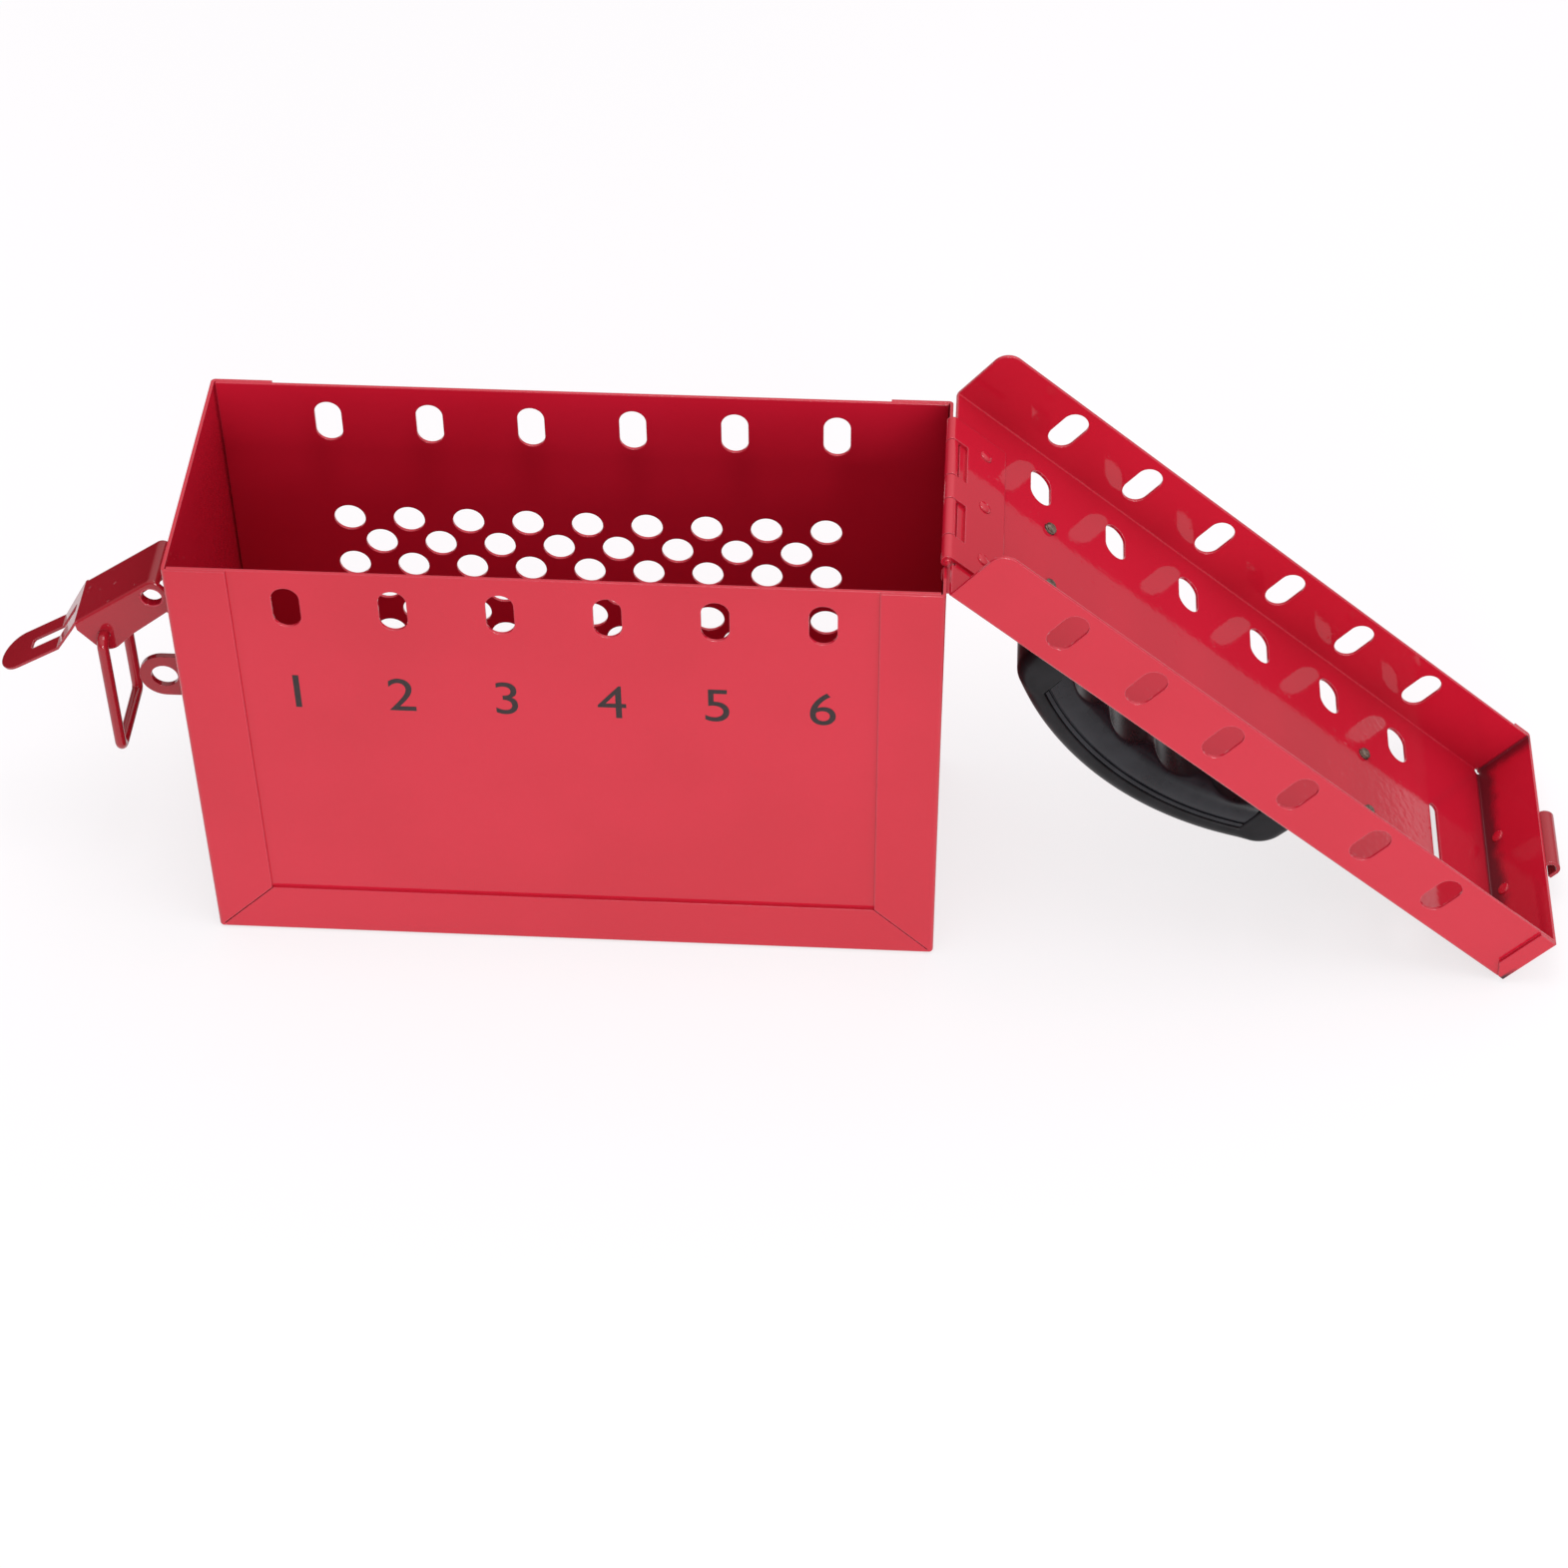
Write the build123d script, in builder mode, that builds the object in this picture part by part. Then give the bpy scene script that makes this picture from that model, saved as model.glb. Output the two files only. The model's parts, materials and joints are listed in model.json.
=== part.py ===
from build123d import *
import os
from math import acos, asin, atan2, cos, degrees, hypot, radians, sin, sqrt

# A portable group lockout box in folded sheet steel. Millimetres, +Z up, X along the box, front at -Y.
# The origin is the middle of the body's underside. The lid is modelled open, with its free end resting
# on the surface that the box stands on, and the latch lever out with its wire bail hanging.

# Sheet steel
sheet = 1.0
bend_inner = 0.4
bend_outer = bend_inner + sheet
running_gap = 0.3
fit_gap = 0.05

# Body
body_length = 230.0
body_depth = 91.0
body_height = 151.0
side_flange = 19.0
bottom_flange = 19.0
mitre_gap = 0.4
panel_gap = bend_inner + 0.1

# Padlock slots, six to a row, in line on the body and the closed lid
slot_count = 6
slot_pitch = 31.75
slot_width = 8.4
body_slot_length = 15.0
lid_slot_length = 14.4
slot_drop = 13.7
lid_slot_lift = 2.8

# Window of staggered holes in the back panel
vent_radius = 5.0
vent_pitch = 19.05
vent_row_step = 9.525
vent_columns = 9
vent_rows = 7
vent_drop = 52.5

# Butt hinge on the right end wall
leaf_thickness = 1.0
knuckle_radius = 2.0
hinge_length = 65.0
middle_knuckle = 11.0
body_knuckle = 16.5
knuckle_gap = 0.3
hinge_pin_radius = 1.1
hinge_pin_proud = 0.6
leaf_width = 20.0
leaf_slit = 4.7
body_leaf_length = 57.0
body_leaf_height = 13.5
hinge_rivet_spacing = 24.0
lid_rivet_u = 12.0
body_rivet_drop = 10.0

# Rivets
rivet_radius = 1.5
rivet_head_radius = 2.7
rivet_head_height = 1.0
rivet_tail_radius = 2.2
rivet_tail_height = 0.8

# Lid
lid_length = 235.2
lid_depth = 94.6
lid_flange_height = 22.0
lid_setback = 1.0
lid_corner_radius = 5.5
lid_floor_gap = 0.05
tab_length = 7.0
tab_chamfer = 5.7
tab_seam = 0.12
relief_radius = 1.2
web_slot_spread = 29.7
key_slot_from_end = 26.4
key_slot_length = 26.0
key_slot_width = 3.6

# Keeper on the lid's end flange
keeper_sheet = 1.2
keeper_width = 31.0
hook_width = 23.5
keeper_rivet_spacing = 24.0
keeper_rivet_w = 5.0
keeper_plate_start = 2.0
hook_w = 21.0
hook_lip = 2.6
hook_wire_gap = 0.15

# Carry handle, moulded, on the lid's outside
handle_centre_from_hinge_end = 109.4
handle_height = 47.6
handle_width = 28.0
handle_half_length = 58.0
handle_shoulder = 55.6
handle_shoulder_depth = 31.3
handle_corner_radius = 10.0
handle_edge_radius = 4.5
handle_rim = 6.3
foot_inner = 50.0
foot_outer = 80.0
foot_width = 38.0
foot_thickness = 4.0
foot_corner_radius = 6.0

# Soft pad inside the handle's arch, with a groove for each finger
pad_half_length = 42.3
pad_gap = 0.1
pad_width = 27.4
pad_grip_depth = 28.0
pad_end_depth = 18.0
finger_groove_count = 4
finger_groove_pitch = 19.0
finger_groove_radius = 14.0
finger_groove_depth = 2.8
finger_groove_rise = 2.0

# Handle screws
screw_radius = 1.95
screw_shift_u = -2.0
screw_spread_u = 69.0
screw_spread_v = 13.0
screw_head_radius = 3.9
screw_head_height = 2.4
screw_tip = 1.6

# Latch: lever pivot, lever, bail, base and padlock eye on the left end wall
lever_slope = 35.0
lever_sheet = 0.8
pivot_stand_off = 14.4
pivot_z = 109.2
lever_half_width = 10.3
lever_top = 5.2
lever_back = 5.6
lever_back_radius = 3.0
lever_end_wall_foot = 2.4
lever_channel_end = 27.8
lever_fold_radius = 1.2
cheek_back_foot = -6.7
cheek_low_u = 15.2
cheek_low_n = -8.1
cheek_front_u = 29.0
cheek_front_n = 2.6
ear_u = 23.2
ear_n = -4.4
ear_radius = 5.1
bail_hole_u = 22.8
bail_hole_n = -3.3
tongue_start = 41.5
tongue_top = -0.7
tongue_rise = 1.8
tongue_half_width = 8.0
tongue_tip = 65.7
tongue_slot_start = 30.5
tongue_slot_end = 53.5
tongue_slot_width = 4.4

eyelet_radius = 3.65
eyelet_bore = 3.3
eyelet_flange_radius = 4.1
eyelet_flange_height = 0.4

bail_wire_radius = 1.8
bail_half_span = 14.3
bail_foot_y = 7.9
bail_eye_bend = 2.6
bail_corner_bend = 4.5

base_sheet = 1.2
base_ear_radius = 4.25
base_ear_root = 7.0
base_side_gap = 0.5
base_top_drop = 5.5
base_height = 22.0

eye_thickness = 2.0
eye_outer_radius = 8.0
eye_bore_radius = 4.3
eye_reach = 17.2
eye_z = 67.9
eye_foot_width = 8.0

# Places that follow from the sizes above
half_length = body_length / 2
half_depth = body_depth / 2
mitre_rise = mitre_gap * bottom_flange / side_flange
slot_z = body_height - slot_drop
hinge_x = half_length
hinge_z = body_height + running_gap + knuckle_radius

# The lid's own axes start on the hinge axis: u along the lid, w square to it on the tray's open side.
web_inner = knuckle_radius - leaf_thickness
web_outer = web_inner - sheet
lid_rim = web_inner + lid_flange_height
lid_end = lid_setback + lid_length
lid_corner_reach = hypot(lid_end, web_outer)
lid_tilt = degrees(asin((hinge_z - lid_floor_gap) / lid_corner_reach) + atan2(web_outer, lid_end))
lid_cos, lid_sin = cos(radians(lid_tilt)), sin(radians(lid_tilt))
lid_along = (lid_cos, 0, -lid_sin)
lid_out = (lid_sin, 0, lid_cos)
lid_flat = Plane(origin=(hinge_x, 0, hinge_z), x_dir=lid_along, z_dir=lid_out)
lid_side = Plane(origin=(hinge_x, 0, hinge_z), x_dir=lid_along, z_dir=(0, -1, 0))
slot_places = [(i - (slot_count - 1) / 2) * slot_pitch for i in range(slot_count)]
lid_slot_places = [hinge_x - x for x in slot_places]
lid_slot_w = hinge_z - slot_z - lid_slot_lift
handle_u = lid_setback + handle_centre_from_hinge_end
screw_places = [(handle_u + screw_shift_u + i * screw_spread_u, j * screw_spread_v)
                for i in (-1, 1) for j in (-1, 1)]

# The lever's own axes start on its pivot: u towards the tongue, n square to its back.
pivot_x = -half_length - pivot_stand_off
lever_cos, lever_sin = cos(radians(lever_slope)), sin(radians(lever_slope))
lever_along = (-lever_cos, 0, -lever_sin)
lever_up = (-lever_sin, 0, lever_cos)
lever_side = Plane(origin=(pivot_x, 0, pivot_z), x_dir=lever_along, z_dir=(0, 1, 0))
lever_flat = Plane(origin=(pivot_x, 0, pivot_z), x_dir=lever_along, z_dir=lever_up)
bail_x = pivot_x - bail_hole_u * lever_cos - bail_hole_n * lever_sin
bail_z = pivot_z - bail_hole_u * lever_sin + bail_hole_n * lever_cos

# The bail is as long as it must be to drop into the keeper's hook with lid and lever closed.
hook_inner_radius = bail_wire_radius + hook_wire_gap
hook_u = lid_end + keeper_sheet + hook_inner_radius
hook_closed_x = hinge_x - hook_u
hook_closed_z = hinge_z - web_inner - hook_w
bail_closed_x = pivot_x - bail_hole_n
bail_closed_z = pivot_z - bail_hole_u
bail_length = hypot(hook_closed_x - bail_closed_x, hook_closed_z - bail_closed_z)
print("lid tilt", round(lid_tilt, 3), "hinge", hinge_x, round(hinge_z, 3))
print("bail pivot", round(bail_x, 3), round(bail_z, 3), "bail length", round(bail_length, 3))


# Body: one strip folded to a U, with flanges turned in at front and back and mitred below
with BuildPart() as body_wrap:
    Box(body_length, body_depth, body_height, align=(Align.CENTER, Align.CENTER, Align.MIN))
    upright = body_wrap.edges().filter_by(Axis.Z)
    around_base = body_wrap.faces().sort_by(Axis.Z)[0].edges()
    fillet(upright + around_base, radius=bend_outer)
    offset(amount=-sheet, openings=body_wrap.faces().sort_by(Axis.Z)[-1])
    with BuildSketch(Plane.XZ) as window:
        with Locations((0, bottom_flange)):
            Rectangle(body_length - 2 * side_flange, body_height, align=(Align.CENTER, Align.MIN))
    extrude(amount=body_depth, both=True, mode=Mode.SUBTRACT)
    for face_y in (-half_depth, half_depth - sheet):
        with BuildSketch(Plane.XZ.offset(-face_y)) as mitres:
            for side in (-1, 1):
                with BuildLine():
                    PolarLine((side * (half_length - side_flange - mitre_gap), bottom_flange + mitre_rise),
                              hypot(side_flange - bend_outer, bottom_flange - bend_outer),
                              direction=(side, -bottom_flange / side_flange))
                trace(line_width=mitre_gap)
        extrude(amount=-sheet, mode=Mode.SUBTRACT)
    for rivet_y in (-hinge_rivet_spacing, hinge_rivet_spacing):
        with Locations(Plane(origin=(half_length, rivet_y, body_height - body_rivet_drop),
                             z_dir=(1, 0, 0))):
            Hole(rivet_radius + fit_gap, depth=2 * sheet)
body_wrap.part.label = "body_wrap"

# Front and back panels, spot welded inside the flanges
panel_width = body_length - 2 * (sheet + panel_gap)
panel_foot = sheet + panel_gap

with BuildPart() as front_panel:
    with BuildSketch(Plane.XZ.offset(half_depth - sheet)):
        with Locations((0, panel_foot)):
            Rectangle(panel_width, body_height - panel_foot, align=(Align.CENTER, Align.MIN))
        with Locations(*[(x, slot_z) for x in slot_places]):
            SlotOverall(body_slot_length, slot_width, rotation=90, mode=Mode.SUBTRACT)
    extrude(amount=-sheet)
front_panel.part.label = "front_panel"

with BuildPart() as back_panel:
    with BuildSketch(Plane.XZ.offset(-half_depth + sheet)):
        with Locations((0, panel_foot)):
            Rectangle(panel_width, body_height - panel_foot, align=(Align.CENTER, Align.MIN))
        with Locations(*[(x, slot_z) for x in slot_places]):
            SlotOverall(body_slot_length, slot_width, rotation=90, mode=Mode.SUBTRACT)
        for row in range(vent_rows):
            columns = vent_columns - row % 2
            with Locations((0, body_height - vent_drop - row * vent_row_step)):
                with GridLocations(vent_pitch, 1, columns, 1):
                    Circle(vent_radius, mode=Mode.SUBTRACT)
    extrude(amount=sheet)
back_panel.part.label = "back_panel"


# Hinge: knuckles 1, 3 and 5 belong to the lid's leaf, 2 and 4 to the body's leaf
half_hinge = hinge_length / 2
body_knuckle_start = middle_knuckle / 2 + knuckle_gap / 2
body_knuckle_end = middle_knuckle / 2 + body_knuckle - knuckle_gap / 2
lid_knuckle_start = middle_knuckle / 2 + body_knuckle + knuckle_gap / 2
body_knuckles = [(body_knuckle_start, body_knuckle_end), (-body_knuckle_end, -body_knuckle_start)]
lid_knuckles = [(lid_knuckle_start, half_hinge),
                (knuckle_gap / 2 - middle_knuckle / 2, middle_knuckle / 2 - knuckle_gap / 2),
                (-half_hinge, -lid_knuckle_start)]
pin_bore = hinge_pin_radius + fit_gap
hinge_notch_half = half_hinge + hinge_pin_proud + 2 * running_gap

with BuildPart() as hinge_body_leaf:
    with BuildSketch(Plane.YZ.offset(half_length)):
        with Locations((0, body_height)):
            Rectangle(body_leaf_length, body_leaf_height, align=(Align.CENTER, Align.MAX))
        for start, end in body_knuckles:
            with Locations(((start + end) / 2, body_height)):
                Rectangle(end - start, hinge_z - body_height, align=(Align.CENTER, Align.MIN))
        with Locations((-hinge_rivet_spacing, body_height - body_rivet_drop),
                       (hinge_rivet_spacing, body_height - body_rivet_drop)):
            Circle(rivet_radius + fit_gap, mode=Mode.SUBTRACT)
    extrude(amount=leaf_thickness)
    for start, end in body_knuckles:
        with BuildSketch(Plane.XZ.offset(-start)):
            with Locations((hinge_x, hinge_z)):
                Circle(knuckle_radius)
        extrude(amount=start - end)
    with BuildSketch(Plane.XZ):
        with Locations((hinge_x, hinge_z)):
            Circle(pin_bore)
    extrude(amount=hinge_length, both=True, mode=Mode.SUBTRACT)
hinge_body_leaf.part.label = "hinge_body_leaf"

with BuildPart() as hinge_lid_leaf:
    with BuildSketch(lid_flat.offset(web_inner)):
        Rectangle(leaf_width, hinge_length, align=(Align.MIN, Align.CENTER))
        for start, end in body_knuckles:
            with Locations((0, (start + end) / 2)):
                Rectangle(2 * leaf_slit, end - start + 2 * knuckle_gap, mode=Mode.SUBTRACT)
        with Locations(*[(lid_rivet_u, i * hinge_rivet_spacing) for i in (-1, 0, 1)]):
            Circle(rivet_radius + fit_gap, mode=Mode.SUBTRACT)
    extrude(amount=leaf_thickness)
    for start, end in lid_knuckles:
        with BuildSketch(Plane.XZ.offset(-start)):
            with Locations((hinge_x, hinge_z)):
                Circle(knuckle_radius)
        extrude(amount=start - end)
    with BuildSketch(Plane.XZ):
        with Locations((hinge_x, hinge_z)):
            Circle(pin_bore)
    extrude(amount=hinge_length, both=True, mode=Mode.SUBTRACT)
hinge_lid_leaf.part.label = "hinge_lid_leaf"

with BuildPart() as hinge_pin:
    with BuildSketch(Plane.XZ):
        with Locations((hinge_x, hinge_z)):
            Circle(hinge_pin_radius)
    extrude(amount=half_hinge + hinge_pin_proud, both=True)
    chamfer(hinge_pin.edges().filter_by(GeomType.CIRCLE), length=hinge_pin_radius / 4)
hinge_pin.part.label = "hinge_pin"


# Rivets: bevelled head on the outside at z = 0, shank down through the grip, flatter tail below
def rivet_outline(grip):
    Polyline((0, rivet_head_height), (rivet_head_radius / 2, rivet_head_height),
             (rivet_head_radius, rivet_head_height / 3), (rivet_head_radius, 0), (rivet_radius, 0),
             (rivet_radius, -grip), (rivet_tail_radius, -grip),
             (rivet_tail_radius, -grip - rivet_tail_height / 3),
             (rivet_tail_radius / 2, -grip - rivet_tail_height), (0, -grip - rivet_tail_height), close=True)


with BuildPart() as leaf_rivet:
    with BuildSketch(Plane.XZ):
        with BuildLine():
            rivet_outline(leaf_thickness + sheet)
        make_face()
    revolve(axis=Axis.Z)

with BuildPart() as keeper_rivet:
    with BuildSketch(Plane.XZ):
        with BuildLine():
            rivet_outline(keeper_sheet + sheet)
        make_face()
    revolve(axis=Axis.Z)

body_rivet_seats = [Plane(origin=(half_length + leaf_thickness, y, body_height - body_rivet_drop),
                          z_dir=(1, 0, 0))
                    for y in (-hinge_rivet_spacing, hinge_rivet_spacing)]
with BuildPart() as hinge_body_rivets:
    with Locations(*body_rivet_seats):
        add(leaf_rivet.part)
hinge_body_rivets.part.label = "hinge_body_rivets"


def on_lid(u, v, w, facing):
    # a plane at the lid's own coordinates, facing along a direction of the row
    return Plane(origin=(hinge_x + u * lid_cos + w * lid_sin, v, hinge_z - u * lid_sin + w * lid_cos),
                 z_dir=facing)


lid_inwards = (-lid_sin, 0, -lid_cos)
with BuildPart() as hinge_lid_rivets:
    with Locations(*[on_lid(lid_rivet_u, i * hinge_rivet_spacing, web_outer, lid_inwards)
                     for i in (-1, 0, 1)]):
        add(leaf_rivet.part)
hinge_lid_rivets.part.label = "hinge_lid_rivets"


# Lid: a tray with flanges on three sides; the end flange's tabs wrap round the long flanges
lid_half = lid_depth / 2
with BuildPart() as lid_shell:
    with BuildSketch(lid_side) as tray_side:
        with Locations((lid_setback, web_outer)):
            Rectangle(lid_length, lid_rim - web_outer, align=(Align.MIN, Align.MIN))
        fillet(tray_side.vertices().sort_by(Axis.X)[:2].sort_by(Axis.Y)[-1], radius=lid_corner_radius)
    extrude(amount=lid_half, both=True)
    web_face = lid_shell.faces().sort_by(Axis((0, 0, 0), lid_out))[0]
    long_folds = web_face.edges().filter_by(Axis((0, 0, 0), lid_along))
    end_fold = web_face.edges().sort_by(Axis((0, 0, 0), lid_along))[-1:]
    fillet(long_folds + end_fold, radius=bend_outer)
    by_out = lid_shell.faces().sort_by(Axis((0, 0, 0), lid_out))
    by_along = lid_shell.faces().sort_by(Axis((0, 0, 0), lid_along))
    corner_faces = lid_shell.faces().filter_by(GeomType.CYLINDER).filter_by(
        lambda face: abs(face.radius - lid_corner_radius) < fit_gap)
    offset(amount=-sheet, openings=[by_out[-1], by_along[0]] + list(corner_faces))
    for side in (-1, 1):
        seat = lid_side.offset(-side * lid_half)
        with BuildSketch(seat):
            with BuildLine():
                Polyline((lid_end, lid_rim), (lid_end - tab_length, lid_rim),
                         (lid_end - tab_length, web_outer + tab_chamfer),
                         (lid_end - tab_length + tab_chamfer - bend_outer, web_outer + bend_outer),
                         (lid_end, web_outer + bend_outer), close=True)
            make_face()
        extrude(amount=-side * (tab_seam + sheet))
        with BuildSketch(seat):
            with Locations((lid_end - sheet, web_outer)):
                Rectangle(tab_length, 2 * lid_rim, align=(Align.MAX, Align.CENTER))
        extrude(amount=-side * tab_seam, mode=Mode.SUBTRACT)
    end_face = lid_shell.faces().sort_by(Axis((0, 0, 0), lid_along))[-1]
    fillet(end_face.edges().filter_by(Axis((0, 0, 0), lid_out)), radius=sheet)
    with BuildSketch(lid_side):
        with Locations(*[(u, lid_slot_w) for u in lid_slot_places]):
            SlotOverall(lid_slot_length, slot_width, rotation=90)
    extrude(amount=body_depth, both=True, mode=Mode.SUBTRACT)
    with BuildSketch(lid_flat.offset(web_outer)):
        with Locations(*[(u, v) for u in lid_slot_places for v in (-web_slot_spread, web_slot_spread)]):
            SlotOverall(lid_slot_length, slot_width, rotation=90)
        with Locations((lid_end - key_slot_from_end, 0)):
            SlotOverall(key_slot_length, key_slot_width, rotation=90)
        Rectangle(2 * (knuckle_radius + running_gap), 2 * hinge_notch_half)
        with Locations(*[(lid_rivet_u, i * hinge_rivet_spacing) for i in (-1, 0, 1)]):
            Circle(rivet_radius + fit_gap)
        with Locations(*screw_places):
            Circle(screw_radius + fit_gap)
    extrude(amount=sheet, mode=Mode.SUBTRACT)
    with BuildSketch(lid_flat.offset(web_outer)):
        with Locations((lid_end - bend_outer, lid_half - bend_outer),
                       (lid_end - bend_outer, bend_outer - lid_half)):
            Circle(relief_radius)
    extrude(amount=bend_outer + bend_inner, mode=Mode.SUBTRACT)
    for rivet_v in (-keeper_rivet_spacing / 2, keeper_rivet_spacing / 2):
        with Locations(on_lid(lid_end, rivet_v, web_inner + keeper_rivet_w, lid_along)):
            Hole(rivet_radius + fit_gap, depth=2 * sheet)
lid_shell.part.label = "lid_shell"


# Keeper: a plate riveted to the end flange, hooked outwards into a trough for the bail
hook_middle_radius = hook_inner_radius + keeper_sheet / 2
plate_u = lid_end + keeper_sheet / 2
hook_start = web_inner + hook_w
with BuildPart() as lid_keeper:
    with BuildSketch(lid_side):
        with BuildLine():
            Line((plate_u, web_inner + keeper_plate_start), (plate_u, hook_start - hook_inner_radius))
        trace(line_width=keeper_sheet)
    extrude(amount=keeper_width / 2, both=True)
    with BuildSketch(lid_side):
        with BuildLine():
            Line((plate_u, hook_start - hook_inner_radius), (plate_u, hook_start))
            ThreePointArc((plate_u, hook_start),
                          (plate_u + hook_middle_radius, hook_start + hook_middle_radius),
                          (plate_u + 2 * hook_middle_radius, hook_start))
            Line((plate_u + 2 * hook_middle_radius, hook_start),
                 (plate_u + 2 * hook_middle_radius, hook_start - hook_lip))
        trace(line_width=keeper_sheet)
    extrude(amount=hook_width / 2, both=True)
    for rivet_v in (-keeper_rivet_spacing / 2, keeper_rivet_spacing / 2):
        with Locations(on_lid(lid_end + keeper_sheet, rivet_v, web_inner + keeper_rivet_w, lid_along)):
            Hole(rivet_radius + fit_gap, depth=keeper_sheet)
lid_keeper.part.label = "lid_keeper"

with BuildPart() as keeper_rivets:
    with Locations(*[on_lid(lid_end + keeper_sheet, i * keeper_rivet_spacing / 2,
                            web_inner + keeper_rivet_w, lid_along) for i in (-1, 1)]):
        add(keeper_rivet.part)
keeper_rivets.part.label = "keeper_rivets"


# Carry handle: an arch with a soft pad inside it, on two screwed feet
arch_rise = handle_height - handle_shoulder_depth
arch_radius = (handle_shoulder ** 2 + arch_rise ** 2) / (2 * arch_rise)


def handle_point(along, depth):
    # a point of the handle's side view, by distance from its middle and depth off the lid
    return (handle_u + along, web_outer - depth)


def arch_point(along, inset):
    # a point that lies this far inside the arch's outer curve
    return handle_point(along, handle_height - arch_radius + sqrt((arch_radius - inset) ** 2 - along ** 2))


with BuildPart() as handle_grip:
    with BuildSketch(lid_side) as arch:
        with BuildLine():
            Line(handle_point(-handle_half_length, 0),
                 handle_point(-handle_shoulder, handle_shoulder_depth))
            ThreePointArc(handle_point(-handle_shoulder, handle_shoulder_depth),
                          handle_point(0, handle_height),
                          handle_point(handle_shoulder, handle_shoulder_depth))
            Polyline(handle_point(handle_shoulder, handle_shoulder_depth),
                     handle_point(handle_half_length, 0), handle_point(-handle_half_length, 0))
        make_face()
        fillet(arch.vertices().sort_by(Axis.Y)[:2], radius=handle_corner_radius)
    extrude(amount=handle_width / 2, both=True)
    rim = handle_grip.faces().filter_by(Axis.Y).edges().filter_by(
        lambda edge: edge.center().dot(Vector(*lid_out)) < on_lid(handle_u, 0, web_outer, lid_out)
        .origin.dot(Vector(*lid_out)) - fit_gap)
    fillet(rim, radius=handle_edge_radius)
    with BuildSketch(lid_side):
        with BuildLine():
            Polyline(arch_point(pad_half_length, handle_rim), handle_point(pad_half_length, -sheet),
                     handle_point(-pad_half_length, -sheet), arch_point(-pad_half_length, handle_rim))
            ThreePointArc(arch_point(-pad_half_length, handle_rim), arch_point(0, handle_rim),
                          arch_point(pad_half_length, handle_rim))
        make_face()
    extrude(amount=handle_width, both=True, mode=Mode.SUBTRACT)
    with BuildSketch(lid_flat.offset(web_outer)) as feet:
        for side in (-1, 1):
            with Locations((handle_u + side * (foot_inner + foot_outer) / 2, 0)):
                RectangleRounded(foot_outer - foot_inner, foot_width, foot_corner_radius)
    extrude(amount=-foot_thickness)
    with BuildSketch(lid_flat.offset(web_outer)):
        with Locations(*screw_places):
            Circle(screw_radius + fit_gap)
    extrude(amount=-foot_thickness, mode=Mode.SUBTRACT)
handle_grip.part.label = "handle_grip"

pad_end = pad_half_length - pad_gap
pad_inset = handle_rim + pad_gap
with BuildPart() as handle_pad:
    with BuildSketch(lid_side):
        with BuildLine():
            Line(handle_point(-pad_end, pad_end_depth), arch_point(-pad_end, pad_inset))
            ThreePointArc(arch_point(-pad_end, pad_inset), arch_point(0, pad_inset),
                          arch_point(pad_end, pad_inset))
            Line(arch_point(pad_end, pad_inset), handle_point(pad_end, pad_end_depth))
            ThreePointArc(handle_point(pad_end, pad_end_depth), handle_point(0, pad_grip_depth),
                          handle_point(-pad_end, pad_end_depth))
        make_face()
        for i in range(finger_groove_count):
            from_middle = i - (finger_groove_count - 1) / 2
            groove_floor = pad_grip_depth + finger_groove_depth - finger_groove_rise * from_middle ** 2
            with Locations(handle_point(from_middle * finger_groove_pitch,
                                        groove_floor - finger_groove_radius)):
                Circle(finger_groove_radius, mode=Mode.SUBTRACT)
    extrude(amount=pad_width / 2, both=True)
handle_pad.part.label = "handle_pad"

screw_end = -foot_thickness - sheet - screw_tip
with BuildPart() as handle_screw:
    with BuildSketch(Plane.XZ):
        with BuildLine():
            Polyline((0, screw_head_height), (screw_head_radius / 2, screw_head_height),
                     (screw_head_radius, screw_head_height / 3), (screw_head_radius, 0), (screw_radius, 0),
                     (screw_radius, screw_end + screw_tip / 2), (screw_radius - screw_tip / 2, screw_end),
                     (0, screw_end), close=True)
        make_face()
    revolve(axis=Axis.Z)

with BuildPart() as handle_screws:
    with Locations(*[on_lid(u, v, web_outer - foot_thickness, lid_inwards) for u, v in screw_places]):
        add(handle_screw.part)
handle_screws.part.label = "handle_screws"


# Latch base: a plate spot welded to the wall, with two ears that carry the lever
ear_outer_y = lever_half_width - lever_sheet - base_side_gap
base_top = pivot_z - base_top_drop
with BuildPart() as latch_base:
    for side in (-1, 1):
        with BuildSketch(Plane.XZ.offset(-side * ear_outer_y)):
            with Locations((pivot_x, pivot_z)):
                Circle(base_ear_radius)
            with Locations((-half_length, base_top)):
                Rectangle(base_sheet, base_ear_root, align=(Align.MAX, Align.MAX))
            make_hull()
        extrude(amount=side * base_sheet)
    with BuildSketch(Plane.YZ.offset(-half_length)):
        with Locations((0, base_top)):
            Rectangle(2 * ear_outer_y, base_height, align=(Align.CENTER, Align.MAX))
    extrude(amount=-base_sheet)
    with BuildSketch(Plane.XZ):
        with Locations((pivot_x, pivot_z)):
            Circle(eyelet_radius + fit_gap)
    extrude(amount=lever_half_width, both=True, mode=Mode.SUBTRACT)
latch_base.part.label = "latch_base"

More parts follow.
